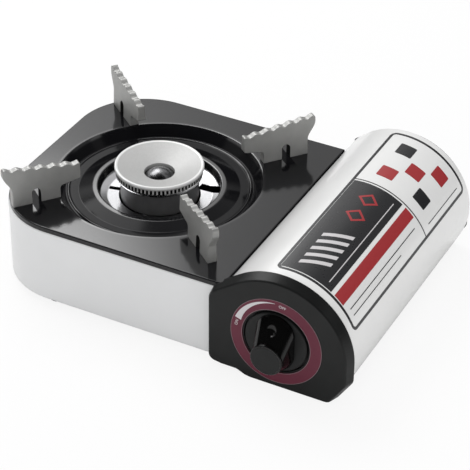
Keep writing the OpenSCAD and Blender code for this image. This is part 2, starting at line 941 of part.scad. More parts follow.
module magnet_plate() {
    color("silver")
        place()
            difference() {
                along_y(valve_y, 1.2)
                    polygon(rounded([
                        [bay_x - 24, cartridge_z - 13, 3], [bay_x + 24, cartridge_z - 13, 3],
                        [bay_x + 24, cartridge_z + 13, 3], [bay_x - 24, cartridge_z + 13, 3]
                    ]));
                rod_y(bay_x, valve_y - 1, cartridge_z, 10 + fit, 5);
            }
}

module magnet(s) {
    color([0.3, 0.3, 0.33])
        place()
            translate([bay_x + s * 17.5 - 5, magnet_y, cartridge_z - 7])
                cube([10, 3, 14]);
}

module magnet_left() {
    magnet(-1);
}

module magnet_right() {
    magnet(1);
}

// Valve and pressure regulator in one die-cast body, with the socket for the cartridge's nozzle
module valve_body() {
    y0 = bulkhead_y + fit + 1.2;
    neck = cam_y + cam_t + 1;
    color([0.6, 0.6, 0.58])
        place()
            difference() {
                union() {
                    rod_y(bay_x, neck, cartridge_z, valve_r, valve_y - neck);
                    rod_y(bay_x, valve_y - 1, cartridge_z, 10, 3.4);
                    translate([bay_x + 6, neck + 1, cartridge_z - 11])
                        cube([16, valve_y - neck - 2, 22]);
                    translate([bay_x - 20, neck + 2, cartridge_z - 2])
                        cube([12, valve_y - neck - 4, 12]);
                    for (p = valve_screw_points())
                        rod_y(p.x, y0, p.y, 3.4, neck + 4 - y0);
                }
                rod_y(bay_x, neck - 1, cartridge_z, spindle_r + fit, spindle_back + gap - neck + 1);
                rod_y(bay_x, neck, cartridge_z, 1.5 + fit, valve_y);
                rod_y(bay_x, valve_y - 4, cartridge_z, 6, 10);
                rod_x(bay_x - 21, 15, tube_z, 2.5 + fit, 6);
                for (p = valve_screw_points())
                    rod_y(p.x, 0, p.y, 1.2, 9);
            }
}

function valve_screw_points() = [
    [bay_x - 10, cartridge_z + 10], [bay_x + 10, cartridge_z + 10], [bay_x + 10, cartridge_z - 10]
];

module valve_screws() {
    color("silver")
        place()
            for (p = valve_screw_points())
                translate([p.x, bulkhead_y + fit, p.y])
                    rotate([-90, 0, 0])
                        screw(1.2 - fit, 5.5);
}

// Dished diaphragm cover on the side of the regulator
module regulator_cover() {
    color([0.7, 0.7, 0.7])
        place()
            translate([bay_x + 22, (valve_y + cam_y + cam_t) / 2 + 0.5, cartridge_z])
                rotate([0, 90, 0])
                    rotate_extrude()
                        polygon([[0, 0], [7.2, 0], [7.2, 1.4], [6, 3], [3, 3.6], [3, 5], [0, 5]]);
}

module inlet_seal() {
    color([0.15, 0.15, 0.15])
        place()
            difference() {
                rod_y(bay_x, valve_y - 4, cartridge_z, 6, 2);
                rod_y(bay_x, valve_y - 5, cartridge_z, 3, 4);
            }
}

// Pin that the spindle's screw pushes back to open the gas way
module valve_pin() {
    color("silver")
        place()
            rod_y(bay_x, spindle_back + gap, cartridge_z, 1.5, 6);
}

// Sheet-metal lid: a long arc with a rolled lower edge, end flanges and two hinge ears
module lid() {
    r_in = lid_r - lid_t;
    centre = [bay_x, bay_z];
    color("white")
        place() {
            along_y(lid_y, lid_len)
                polygon(concat(arc(centre, lid_r, lid_a0, lid_a1, 96), arc(centre, r_in, lid_a1, lid_a0, 96)));
            along_y(lid_y, lid_len)
                polygon(concat(
                    arc(centre, lid_r, lid_a0, lid_a0 + 1, 2), arc(centre, lid_r - 2.6, lid_a0 + 1, lid_a0, 2)
                ));
            for (y = [lid_y, lid_y + lid_len - 1.2])
                difference() {
                    union() {
                        along_y(y, 1.2)
                            polygon(concat(
                                arc(centre, lid_r - 0.2, lid_a0, lid_a1, 96),
                                arc(centre, lid_r - 3, lid_a1, lid_a0, 96)
                            ));
                        intersection() {
                            rod_y(hinge_x, y, hinge_z, ear_r, 1.2);
                            rod_y(bay_x, y, bay_z, lid_r - 0.2, 1.2);
                        }
                    }
                    rod_y(hinge_x, y - 1, hinge_z, hinge_r + fit, 4);
                }
        }
}

module hinge_pin_front() {
    color("silver")
        place()
            rod_y(hinge_x, panel_back - 4, hinge_z, hinge_r, lid_y + 2.4 - panel_back + 4);
}

module hinge_pin_rear() {
    color("silver")
        place()
            rod_y(hinge_x, cap_y - 3, hinge_z, hinge_r, 4);
}

// Outline of the panel and the rear cap, seen from the front
module bay_outline(r, inset = 0) {
    left = panel_left + inset;
    tangent = 125;
    from = [bay_x, bay_z] + (r - inset) * [cos(tangent), sin(tangent)];
    drop = (from.x - left) / sin(tangent) * -cos(tangent);
    polygon(rounded(concat(
        sharp(arc([bay_x, bay_z], r - inset, 0, tangent, 48)),
        [
            [left, from.y - drop, 9], [left, wall_z - 0.9 + inset, 5], [box_w + 15, wall_z - 0.9 + inset, 8],
            [box_w + 25, inset, 8], [bay_x + r - 12.2 - inset, inset, 5], [bay_x + r - inset, 19, 8]
        ]
    )));
}

module rear_cap() {
    color([0.08, 0.08, 0.08])
        place()
            difference() {
                union() {
                    along_y(cap_y, cap_t)
                        intersection() {
                            bay_outline(lid_r - 1.6);
                            translate([box_w + seam, -1])
                                square([3 * lid_r, 3 * lid_r]);
                        }
                    // Side wall that closes the bay behind the burner box
                    translate([box_w + seam, box_d - 5, pan_top])
                        cube([2, cap_y - box_d + 5.2, hinge_z - ear_r - 1 - pan_top]);
                }
                rod_y(hinge_x, cap_y - 4, hinge_z, hinge_r, 5);
            }
}

// ---- Control ----

function panel_screw_points() = [
    [bay_x - 34, bay_z + 12], [bay_x + 34, bay_z + 18], [bay_x - 30, bay_z - 20], [bay_x + 33, bay_z - 20]
];

// Moulded end cap: tapered sides, recessed dial, knob well and screw bosses behind
module panel() {
    face = -panel_out;
    color([0.09, 0.09, 0.09])
        place()
            difference() {
                union() {
                    difference() {
                        hull() {
                            along_y(panel_back - 0.2, 0.2)
                                bay_outline(panel_r);
                            along_y(face + 1, 0.2)
                                bay_outline(panel_r - 2.6);
                            along_y(face, 0.2)
                                bay_outline(panel_r - 2.6, 0.8);
                        }
                        // The hull bridges the step under the burner box: it is cut open again
                        along_y(face - 1, panel_out + panel_back + 2)
                            polygon(rounded([
                                [panel_left - 9, wall_z - 0.9, 0], [panel_left - 9, -2, 0], [box_w + 26, -2, 0],
                                [box_w + 25, 0, 0], [box_w + 15, wall_z - 0.9, 8]
                            ]));
                        along_y(face + panel_wall, panel_out + panel_back)
                            bay_outline(panel_r - 3.4, panel_wall);
                    }
                    rod_y(bay_x, face + 0.5, cartridge_z, well_r + panel_wall, well_floor + panel_wall - face - 0.5);
                    rod_y(bay_x, face + 0.5, cartridge_z, ring_r + 1, panel_wall + 0.8 - 0.5);
                    for (p = panel_screw_points())
                        rod_y(p.x, face + 1, p.y, 3.4, panel_back - face - 1);
                    rod_y(hinge_x, face + 1, hinge_z, 3.1, panel_back - face - 1);
                }
                rod_y(bay_x, face - 1, cartridge_z, ring_r, 1 + ring_t);
                rod_y(bay_x, face - 1, cartridge_z, well_r, 1 + well_floor - face);
                rod_y(bay_x, face, cartridge_z, spindle_r + 0.6, panel_out + panel_back + 1);
                for (p = panel_screw_points())
                    rod_y(p.x, panel_back - 5, p.y, 1.2, 6);
                rod_y(hinge_x, panel_back - 4, hinge_z, hinge_r, 5);
                // The left lip laps over the front wall and under the plate's rim
                translate([-1, -0.1, -1])
                    cube([box_w + 1.1, 10, plate_z + 10]);
                translate([-1, -0.1, plate_z - rim_h - 0.2])
                    cube([box_w + sheet + 1.2, 10, 20]);
            }
}

module panel_screws() {
    color("silver")
        place()
            for (p = panel_screw_points())
                translate([p.x, bulkhead_y + fit + 1.2, p.y])
                    rotate([90, 0, 0])
                        screw(1.2 - fit, 5.5);
}

module dial_ring() {
    color([0.42, 0.11, 0.19])
        place()
            difference() {
                rod_y(bay_x, -panel_out, cartridge_z, ring_r - fit, ring_t);
                rod_y(bay_x, -panel_out - 1, cartridge_z, ring_in_r, ring_t + 2);
            }
}

module at_knob(z = 0) {
    translate([bay_x, -knob_out, cartridge_z + z])
        rotate([-90, 0, 0])
            children();
}

// Flat round skirt that turns in the panel's well
module knob_skirt() {
    front = knob_out + grip_back;
    color([0.09, 0.09, 0.09])
        place()
            difference() {
                at_knob()
                    rotate_extrude()
                        polygon([
                            [0, front], [knob_r - 0.6, front], [knob_r, front + 0.6],
                            [knob_r, knob_out + skirt_back], [0, knob_out + skirt_back]
                        ]);
                rod_y(bay_x, grip_back - 1, cartridge_z, spindle_r, 12);
            }
}

// Grip that leans down from the pointer end to a round end with a lip
module knob() {
    half = 14.5;
    plinth = 1.6;
    lip = 2.4;
    upper = cartridge_z + knob_r - half - 0.8;
    dimple_r = 6;
    dimple_depth = 1.7;
    // Foot and head of the sloping upper face, in Y and Z
    low = [grip_back - plinth, upper + half];
    high = [lip - knob_out, cartridge_z + end_z + end_r - 0.7];
    along = unit(high - low);
    dimple = (low + high) / 2 + [along.y, -along.x] * (dimple_r - dimple_depth);
    color([0.05, 0.05, 0.05])
        place()
            difference() {
                union() {
                    hull($fn = 48) {
                        rod_y(bay_x, grip_back - plinth, upper, half, plinth);
                        rod_y(bay_x, grip_back - plinth, cartridge_z - knob_r + half + 1.5, half, plinth);
                        rod_y(bay_x, high.x, cartridge_z + end_z, end_r - 0.7, 0.2);
                    }
                    at_knob(end_z)
                        rotate_extrude()
                            polygon([
                                [0, 0], [end_r - 0.8, 0], [end_r - 0.2, 0.3], [end_r, 0.9], [end_r - 0.1, 1.7],
                                [end_r - 0.7, lip + 0.1], [0, lip + 0.1]
                            ]);
                }
                rod_y(bay_x, -12, cartridge_z, spindle_r, 12);
                at_knob(end_z)
                    translate([0, 0, -1])
                        cylinder(r = cap_disc_r + fit, h = 1 + cap_disc_t);
                // Round dimple that marks the pointer end
                translate([bay_x, dimple.x, dimple.y])
                    sphere(dimple_r, $fn = 48);
            }
}

// Disc let into the grip's end
module knob_cap() {
    color([0.12, 0.12, 0.12])
        place()
            at_knob(end_z)
                cylinder(r = cap_disc_r, h = cap_disc_t);
}

module spindle() {
    front = -12;   // the blind end of the grip's bore
    color("silver")
        place()
            rod_y(bay_x, front, cartridge_z, spindle_r, spindle_back - front);
}

// Spiral cam: its radius grows evenly with the angle, so the plunger follows the knob at a fixed rate
function cam_outline() =
    let (spread = 40)
    concat([[0, 0]], [for (a = [-spread:4:knob_angle + spread])
        (cam_r + cam_lift * a / knob_angle) * [-sin(a), -cos(a)]]);

module igniter_cam() {
    color([0.85, 0.85, 0.8])
        place()
            difference() {
                union() {
                    translate([bay_x, 0, cartridge_z])
                        along_y(cam_y, cam_t)
                            polygon(cam_outline());
                    rod_y(bay_x, cam_y, cartridge_z, spindle_r + 1.2, cam_t);
                }
                rod_y(bay_x, 0, cartridge_z, spindle_r, 10);
            }
}

module igniter_plunger() {
    top = cartridge_z - cam_r - cam_gap;
    color([0.85, 0.85, 0.8])
        place()
            translate([bay_x - plunger_w / 2, cam_y, top - plunger_len])
                cube([plunger_w, cam_t, plunger_len]);
}

module igniter() {
    top = cartridge_z - valve_r - cam_gap;
    color([0.12, 0.12, 0.12])
        place()
            difference() {
                translate([bay_x - igniter_w / 2, bulkhead_y + fit + 1.2, top - igniter_h])
                    cube([igniter_w, 10, igniter_h]);
                translate([bay_x - plunger_w / 2 - gap, cam_y - gap, top - 8])
                    cube([plunger_w + 2 * gap, cam_t + 2 * gap, 9]);
            }
}

body_shell();
base_pan();
top_plate();
foot_front();
foot_back();
base_screws();
trivet_front_left();
trivet_front_right();
trivet_back_left();
trivet_back_right();
burner_cap();
cap_dome();
port_ring();
port_liner();
burner_body();
reflector();
mixing_tube();
jet_holder();
gas_tube();
burner_bracket();
electrode_ceramic();
electrode_tip();
electrode_clip();
igniter_lead();
partition();
bulkhead();
cradle();
magnet_plate();
magnet_left();
magnet_right();
valve_body();
regulator_cover();
inlet_seal();
valve_pin();
valve_screws();
lid();
hinge_pin_front();
hinge_pin_rear();
rear_cap();
panel();
dial_ring();
panel_screws();
knob_skirt();
knob();
knob_cap();
spindle();
igniter_cam();
igniter_plunger();
igniter();
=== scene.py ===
import json
import math

import bmesh
import bpy
from mathutils import Matrix, Vector


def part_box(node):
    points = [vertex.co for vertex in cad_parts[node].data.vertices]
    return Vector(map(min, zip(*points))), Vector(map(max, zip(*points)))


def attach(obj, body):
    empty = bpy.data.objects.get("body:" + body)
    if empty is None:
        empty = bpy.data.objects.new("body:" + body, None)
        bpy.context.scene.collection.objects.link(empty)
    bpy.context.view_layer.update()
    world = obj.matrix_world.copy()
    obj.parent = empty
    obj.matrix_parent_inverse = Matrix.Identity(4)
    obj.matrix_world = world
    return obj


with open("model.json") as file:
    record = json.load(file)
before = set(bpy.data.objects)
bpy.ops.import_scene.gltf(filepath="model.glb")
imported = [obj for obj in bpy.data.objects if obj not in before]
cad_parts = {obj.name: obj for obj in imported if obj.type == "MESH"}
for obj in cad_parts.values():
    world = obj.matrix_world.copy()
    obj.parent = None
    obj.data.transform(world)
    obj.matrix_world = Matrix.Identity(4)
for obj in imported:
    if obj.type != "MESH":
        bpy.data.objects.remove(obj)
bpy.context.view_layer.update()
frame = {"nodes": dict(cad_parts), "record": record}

NODES = frame["nodes"]
MM = 0.001

# ---------------------------------------------------------------- places, from the frame
RING_LOW, RING_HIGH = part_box("dial_ring")
LID_LOW, LID_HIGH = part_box("lid")
_, PLATE_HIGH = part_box("top_plate")
CAP_LOW, CAP_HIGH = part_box("burner_cap")
BURNER_X = (CAP_LOW.x + CAP_HIGH.x) / 2
BURNER_Y = (CAP_LOW.y + CAP_HIGH.y) / 2
CAP_R = (CAP_HIGH.x - CAP_LOW.x) / 2
DIAL_X = (RING_LOW.x + RING_HIGH.x) / 2
DIAL_Z = (RING_LOW.z + RING_HIGH.z) / 2
RING_R = (RING_HIGH.x - RING_LOW.x) / 2
LID_R = 54.5 * MM
LID_X = LID_HIGH.x - LID_R
LID_Z = LID_HIGH.z - LID_R
LID_INSET = 2.3 * MM                    # from the front wall's plane to the lid
FRONT_Y = LID_LOW.y - LID_INSET

# The pot supports, as in the CAD source: a slot open at the foot, with a round top
SUPPORTS = ("trivet_back_right", "trivet_back_left", "trivet_front_left", "trivet_front_right")
SUPPORTS_X = BURNER_X + 1.7 * MM
SUPPORTS_Y = BURNER_Y + 0.8 * MM
FIRST_SUPPORT = 46.4                    # direction of the first support, in degrees
SWIRL = 5.0                             # and each is turned this much more about its slot
SLOT_R = 96.9 * MM                      # from the supports' middle to the middle of a slot
SLOT_HALF = 3.4 * MM
SLOT_H = 12 * MM


# ---------------------------------------------------------------- node helpers
NOISE_SPREAD = (0.3, 0.7)               # most of a noise's values lie between these


def new_material(name):
    mat = bpy.data.materials.new(name)
    mat.use_nodes = True
    tree = mat.node_tree
    shader = tree.nodes["Principled BSDF"]
    return mat, tree, shader


def link(tree, a, out, b, into):
    tree.links.new(a.outputs[out], b.inputs[into])


def coords(tree):
    return tree.nodes.new("ShaderNodeTexCoord")


def noise(tree, scale, detail):
    tex = tree.nodes.new("ShaderNodeTexNoise")
    tex.inputs["Scale"].default_value = scale
    tex.inputs["Detail"].default_value = detail
    link(tree, coords(tree), "Object", tex, "Vector")
    return tex


def ramp(tree, source, out, low, high, start=NOISE_SPREAD[0], end=NOISE_SPREAD[1]):
    """Runs from low at start to high at end, and stays level outside them."""
    node = tree.nodes.new("ShaderNodeMapRange")
    node.inputs["From Min"].default_value = start
    node.inputs["From Max"].default_value = end
    node.inputs["To Min"].default_value = low
    node.inputs["To Max"].default_value = high
    link(tree, source, out, node, "Value")
    return node


def colour_ramp(tree, source, out, stops):
    """The colours at the given (place, colour) stops, and a blend between them."""
    node = tree.nodes.new("ShaderNodeValToRGB")
    elements = node.color_ramp.elements
    elements[0].position, elements[1].position = stops[0][0], stops[-1][0]
    for place, _ in stops[1:-1]:
        elements.new(place)
    for element, (_, colour) in zip(elements, stops):
        element.color = (*colour, 1)
    link(tree, source, out, node, "Fac")
    return node


def split_xyz(tree, source, out):
    node = tree.nodes.new("ShaderNodeSeparateXYZ")
    link(tree, source, out, node, "Vector")
    return node


def vector_math(tree, how, source, out, vector):
    """A Vector Math node between a linked vector and a fixed one."""
    node = tree.nodes.new("ShaderNodeVectorMath")
    node.operation = how
    link(tree, source, out, node, 0)
    node.inputs[1].default_value = vector
    return node


def combine(tree, how, *terms):
    """A Math node; each term is a number, a node or a (node, output) pair."""
    node = tree.nodes.new("ShaderNodeMath")
    node.operation = how
    for k, term in enumerate(terms):
        if isinstance(term, (int, float)):
            node.inputs[k].default_value = term
        else:
            source, out = term if isinstance(term, tuple) else (term, 0)
            link(tree, source, out, node, k)
    return node


def product(tree, first, *others):
    for other in others:
        first = combine(tree, "MULTIPLY", first, other)
    return first


def from_axis(tree, x, y):
    """Distance of a surface point from the upright axis at x, y, and the point's separate coordinates."""
    place = split_xyz(tree, coords(tree), "Object")
    squares = []
    for out, middle in (("X", x), ("Y", y)):
        gap = combine(tree, "SUBTRACT", (place, out), middle)
        squares.append(product(tree, gap, gap))
    return combine(tree, "SQRT", combine(tree, "ADD", *squares)), place


def mix_shaders(tree, share, one, other, into):
    """The shader one where the node share gives 0, the shader other where it gives 1."""
    mix = tree.nodes.new("ShaderNodeMixShader")
    link(tree, share, 0, mix, 0)
    link(tree, one, 0, mix, 1)
    link(tree, other, 0, mix, 2)
    tree.links.new(mix.outputs[0], into)


# ---------------------------------------------------------------- finishes
COAT_ROUGH = 0.05
LEAST_ROUGH = 0.02
BEVEL_SAMPLES = 6


def finish(name, colour, rough, metal=0.0, vary=0.06, rough_vary=0.06, scale=60.0, grain=900.0,
           bump=0.0, edge=0.0, coat=0.0, spec=0.5):
    """A finish with faint blotches, varied roughness, fine grain and softened edges."""
    mat, tree, shader = new_material(name)
    cloud = noise(tree, scale, 4.0)
    dark = tuple(c * (1 - vary) for c in colour)
    light = tuple(min(1.0, c * (1 + vary)) for c in colour)
    stops = tuple(zip(NOISE_SPREAD, (dark, light)))
    link(tree, colour_ramp(tree, cloud, "Fac", stops), "Color", shader, "Base Color")
    fine = noise(tree, grain, 2.0)
    varied = ramp(tree, fine, "Fac", max(LEAST_ROUGH, rough - rough_vary), rough + rough_vary)
    link(tree, varied, "Result", shader, "Roughness")
    shader.inputs["Metallic"].default_value = metal
    shader.inputs["Specular IOR Level"].default_value = spec
    shader.inputs["Coat Weight"].default_value = coat
    shader.inputs["Coat Roughness"].default_value = COAT_ROUGH
    last = None
    if edge:
        last = tree.nodes.new("ShaderNodeBevel")
        last.samples = BEVEL_SAMPLES
        last.inputs["Radius"].default_value = edge
    if bump:
        node = tree.nodes.new("ShaderNodeBump")
        node.inputs["Distance"].default_value = bump
        link(tree, fine, "Fac", node, "Height")
        if last:
            link(tree, last, "Normal", node, "Normal")
        last = node
    if last:
        link(tree, last, "Normal", shader, "Normal")
    return mat


# One finish for each of the record's material slots; bump and edge are in metres
MATERIALS = {
    "white_paint": dict(colour=(0.74, 0.745, 0.75), rough=0.32, vary=0.015, rough_vary=0.02, scale=25,
                        edge=0.0013, coat=0.3),
    "lid_white": dict(colour=(0.80, 0.80, 0.795), rough=0.30, vary=0.012, rough_vary=0.015, scale=25,
                      grain=500, edge=0.0004, coat=0.3),
    "black_enamel": dict(colour=(0.006, 0.006, 0.007), rough=0.12, vary=0.15, rough_vary=0.02, scale=30,
                         edge=0.0008, spec=0.41),
    "zinc_plate": dict(colour=(0.62, 0.63, 0.64), rough=0.34, metal=1.0, vary=0.08, scale=90, edge=0.0003),
    "black_rubber": dict(colour=(0.02, 0.02, 0.02), rough=0.75, vary=0.2, bump=0.00005, edge=0.0005),
    "satin_metal": dict(colour=(0.39, 0.39, 0.38), rough=0.50, metal=0.55, vary=0.05, rough_vary=0.06,
                        scale=120, grain=2500, bump=0.00003, edge=0.0007),
    "cast_aluminium": dict(colour=(0.49, 0.49, 0.485), rough=0.52, metal=0.3, vary=0.09, scale=1500,
                           grain=3500, bump=0.00004, edge=0.0005),
    "dark_chrome": dict(colour=(0.17, 0.17, 0.175), rough=0.26, metal=1.0, vary=0.1, rough_vary=0.03),
    "bright_ring": dict(colour=(0.72, 0.72, 0.73), rough=0.22, metal=1.0, vary=0.03, edge=0.0004),
    "heat_dark": dict(colour=(0.012, 0.012, 0.012), rough=0.6, vary=0.15, spec=0.3),
    "burner_grey": dict(colour=(0.115, 0.115, 0.117), rough=0.42, metal=0.5, vary=0.08, scale=110,
                        grain=2600, bump=0.00003, edge=0.0008, spec=0.3),
    "polished_steel": dict(colour=(0.44, 0.44, 0.45), rough=0.16, metal=1.0, vary=0.04, rough_vary=0.03,
                           edge=0.0003),
    "brass": dict(colour=(0.62, 0.44, 0.18), rough=0.28, metal=1.0, vary=0.08, edge=0.0003),
    "copper": dict(colour=(0.60, 0.30, 0.16), rough=0.30, metal=1.0, vary=0.10),
    "ceramic": dict(colour=(0.80, 0.79, 0.75), rough=0.25, vary=0.03),
    "lead_black": dict(colour=(0.03, 0.03, 0.03), rough=0.5, vary=0.1),
    "magnet_grey": dict(colour=(0.09, 0.09, 0.10), rough=0.5, metal=0.5, vary=0.15, edge=0.0003),
    "panel_black": dict(colour=(0.010, 0.0105, 0.0105), rough=0.34, vary=0.12, rough_vary=0.03, scale=80,
                        grain=4000, bump=0.00002, edge=0.0008, spec=0.22),
    "ring_burgundy": dict(colour=(0.115, 0.016, 0.034), rough=0.36, vary=0.05, edge=0.0002, spec=0.3),
    "knob_black": dict(colour=(0.003, 0.003, 0.003), rough=0.09, vary=0.2, rough_vary=0.02, edge=0.0009,
                       spec=0.35),
    "ivory_plastic": dict(colour=(0.66, 0.64, 0.56), rough=0.45, vary=0.04),
    "igniter_black": dict(colour=(0.03, 0.03, 0.03), rough=0.4, vary=0.1, edge=0.0004),
}


def shade(mat, mask, colour, metal=None, spec=None):
    """Lay another colour over a finish where the mask is 1, and another metal or gloss if one is given."""
    tree = mat.node_tree
    shader = tree.nodes["Principled BSDF"]
    mix = tree.nodes.new("ShaderNodeMixRGB")
    mix.inputs["Color2"].default_value = (*colour, 1)
    link(tree, mask, "Value", mix, "Fac")
    tree.links.new(shader.inputs["Base Color"].links[0].from_socket, mix.inputs["Color1"])
    link(tree, mix, "Color", shader, "Base Color")
    for name, there in (("Metallic", metal), ("Specular IOR Level", spec)):
        if there is not None:
            here = shader.inputs[name].default_value
            link(tree, ramp(tree, mask, "Value", here, there, 0.0, 1.0), "Result", shader, name)


def slot_frame(tree, i):
    """Distances along and across pot support i from its slot's axis, and the point's place from there."""
    a = math.radians(FIRST_SUPPORT + 90 * i)
    middle = (SUPPORTS_X + SLOT_R * math.cos(a), SUPPORTS_Y + SLOT_R * math.sin(a), 0)
    place = vector_math(tree, "SUBTRACT", coords(tree), "Object", middle)
    a += math.radians(SWIRL)
    sides = []
    for way in ((math.cos(a), math.sin(a), 0), (-math.sin(a), math.cos(a), 0)):
        dot = vector_math(tree, "DOT_PRODUCT", place, "Vector", way)
        sides.append(combine(tree, "ABSOLUTE", (dot, "Value")))
    return *sides, place


# Painted shade in the pot supports' slots: a dark colour with little gloss and no metal
SLOT_SHADE_COLOUR = (0.010, 0.010, 0.010)
SLOT_SHADE_SPEC = 0.1
SLOT_SHADE_SKIN = 0.03 * MM                   # the painted shade reaches this far past the slot's wall


def paint_slot_shade(mat, i):
    """The inside of the slot in one pot support gets painted shade: it is dark and not metallic."""
    tree = mat.node_tree
    along, _, place = slot_frame(tree, i)
    round_z = PLATE_HIGH.z + SLOT_H - SLOT_HALF
    height = combine(tree, "SUBTRACT", (split_xyz(tree, place, "Vector"), "Z"), round_z)
    above = combine(tree, "MAXIMUM", height, 0.0)
    square = combine(tree, "ADD", product(tree, along, along), product(tree, above, above))
    inside = combine(tree, "LESS_THAN", square, (SLOT_HALF + SLOT_SHADE_SKIN) ** 2)
    shade(mat, inside, SLOT_SHADE_COLOUR, metal=0.0, spec=SLOT_SHADE_SPEC)


# The enamel's specular level at distances from the burner's axis, in mm: high, as painted highlights, on
# the raised step round the opening, on the bead and on the recess's lip; low, as painted shade, between
# them; plain outside
ENAMEL_SPEC = ((49, 0.90), (50.5, 0.08), (67.4, 0.08), (68.2, 0.80), (69, 0.08), (75.5, 0.08),
               (76.5, 0.80), (78, 0.80), (80, MATERIALS["black_enamel"]["spec"]))
SPEC_SPAN = 100                         # the distance at the ramp's end, in mm
STRIP_HALF = 3.6 * MM                   # half the width of a strip of painted shade, which runs out from a slot
STRIP_FADE = (12 * MM, 18 * MM)         # a strip fades out between these distances from its support
STRIP_SHADE_SPEC = 0.06                       # the share of the specular level that a strip keeps
STRIPS = (0, 2)                         # the supports whose slots show the plate behind them


def paint_recess_shade_and_highlights(mat):
    """Painted shade: a lower specular level in the plate's recess and in strips seen through two slots;
    painted highlights on the lips.
    """
    tree = mat.node_tree
    reach, _ = from_axis(tree, BURNER_X, BURNER_Y)
    share = combine(tree, "DIVIDE", reach, SPEC_SPAN * MM)
    stops = [(r / SPEC_SPAN, (spec, spec, spec)) for r, spec in ENAMEL_SPEC]
    shine = colour_ramp(tree, share, "Value", stops)
    # painted shade: strips of low specular level on the plate behind two slots
    for i in STRIPS:
        along, across, _ = slot_frame(tree, i)
        beside = combine(tree, "GREATER_THAN", along, STRIP_HALF)
        beyond = ramp(tree, across, "Value", STRIP_SHADE_SPEC, 1.0, *STRIP_FADE)
        shine = product(tree, shine, combine(tree, "MAXIMUM", beside, beyond))
    link(tree, shine, "Value", tree.nodes["Principled BSDF"], "Specular IOR Level")


# Painted shade in the cap's flame ports: a near-black colour where the ports cut its wall
PORT_SHADE_COLOUR = (0.008, 0.008, 0.008)
PORT_DROP = 3.05 * MM                   # the ports' upper edge, below the cap's top
PORT_OUTSIDE, PORT_INSIDE = 0.9 * MM, 4.3 * MM  # the wall that the ports cut, inside the cap's edge
# Painted highlight: a brighter, glossier band round the top of the cap's rim
RIM_HIGHLIGHT_COLOUR = (0.78, 0.78, 0.775)
RIM_HIGHLIGHT_SPEC = 0.6
RIM_DROP, RIM_W = 1.6 * MM, 2.4 * MM


def paint_cap_shade_and_highlight(mat):
    """Painted shade in the burner cap's flame ports, and a painted highlight round its rim."""
    tree = mat.node_tree
    reach, place = from_axis(tree, BURNER_X, BURNER_Y)
    low = combine(tree, "LESS_THAN", (place, "Z"), CAP_HIGH.z - PORT_DROP)
    outer = combine(tree, "GREATER_THAN", reach, CAP_R - PORT_INSIDE)
    inner = combine(tree, "LESS_THAN", reach, CAP_R - PORT_OUTSIDE)
    high = combine(tree, "GREATER_THAN", (place, "Z"), CAP_HIGH.z - RIM_DROP)
    edge = combine(tree, "GREATER_THAN", reach, CAP_R - RIM_W)
    shade(mat, product(tree, high, edge), RIM_HIGHLIGHT_COLOUR, spec=RIM_HIGHLIGHT_SPEC)
    shade(mat, product(tree, low, outer, inner), PORT_SHADE_COLOUR)


def paint_nodes():
    """Every CAD node gets its slot's finish, with painted shade and highlights on the enamel and the
    burner cap; each pot support has its own, with painted shade in its slot.
    """
    made = {name: finish(name, **values) for name, values in MATERIALS.items()}
    paint_recess_shade_and_highlights(made["black_enamel"])
    paint_cap_shade_and_highlight(made["cast_aluminium"])
    for i, name in enumerate(SUPPORTS):
        made[name] = finish("satin_metal", **MATERIALS["satin_metal"])
        # painted shade inside this support's slot
        paint_slot_shade(made[name], i)
    for part in frame["record"]["subparts"]:
        obj = NODES[part["node"]]
        mat = made.get(part["node"]) or made[part["material_slot"]]
        if not obj.material_slots:
            obj.data.materials.append(mat)
        for slot in obj.material_slots:
            slot.material = mat


SHARP_ANGLE = 28                        # faces that meet at more than this many degrees have a sharp edge


def smooth_nodes():
    """Round faces are shaded smooth and real edges stay sharp; the meshes aren't changed."""
    for obj in NODES.values():
        mod = obj.modifiers.new("edges", "EDGE_SPLIT")
        mod.split_angle = math.radians(SHARP_ANGLE)


# ---------------------------------------------------------------- printed patches
PRINT = 0.09 * MM                       # how far a printed layer stands above its surface
SINK = 0.02 * MM                        # and how far its underside lies below the surface
STEP = 1.9                              # longest straight run round the lid, in mm
CUT_TOLERANCE = 1e-7


def piece(name, mesh, mat, body):
    obj = bpy.data.objects.new(name, mesh)
    bpy.context.collection.objects.link(obj)
    mesh.materials.append(mat)
    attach(obj, body)


def patch(name, loops, mapping, mat, body, layer=1, step=None):
    """A thin printed piece. loops is [outline] or [outline, hole]; mapping lays it on its surface."""
    bm = bmesh.new()
    outer = [bm.verts.new((x, y, 0)) for x, y in loops[0]]
    if len(loops) == 1:
        bm.faces.new(outer)
    else:
        inner = [bm.verts.new((x, y, 0)) for x, y in loops[1]]
        k = len(outer)
        for i in range(k):
            bm.faces.new([outer[i], outer[(i + 1) % k], inner[(i + 1) % k], inner[i]])
    if step:
        xs = [v.co.x for v in bm.verts]
        x = min(xs) + step
        while x < max(xs):
            everything = bm.verts[:] + bm.edges[:] + bm.faces[:]
            bmesh.ops.bisect_plane(bm, geom=everything, dist=CUT_TOLERANCE,
                                   plane_co=(x, 0, 0), plane_no=(1, 0, 0))
            x += step
    raised = bmesh.ops.extrude_face_region(bm, geom=bm.faces[:])
    for v in raised["geom"]:
        if isinstance(v, bmesh.types.BMVert):
            v.co.z = 1
    bmesh.ops.triangulate(bm, faces=[f for f in bm.faces if len(f.verts) > 4])
    for v in bm.verts:
        v.co = mapping(v.co.x, v.co.y, PRINT * layer if v.co.z > 0.5 else -SINK)
    bmesh.ops.recalc_face_normals(bm, faces=bm.faces)
    mesh = bpy.data.meshes.new(name)
    bm.to_mesh(mesh)
    bm.free()
    piece(name, mesh, mat, body)


def polar(r, degrees):
    return r * math.cos(math.radians(degrees)), r * math.sin(math.radians(degrees))


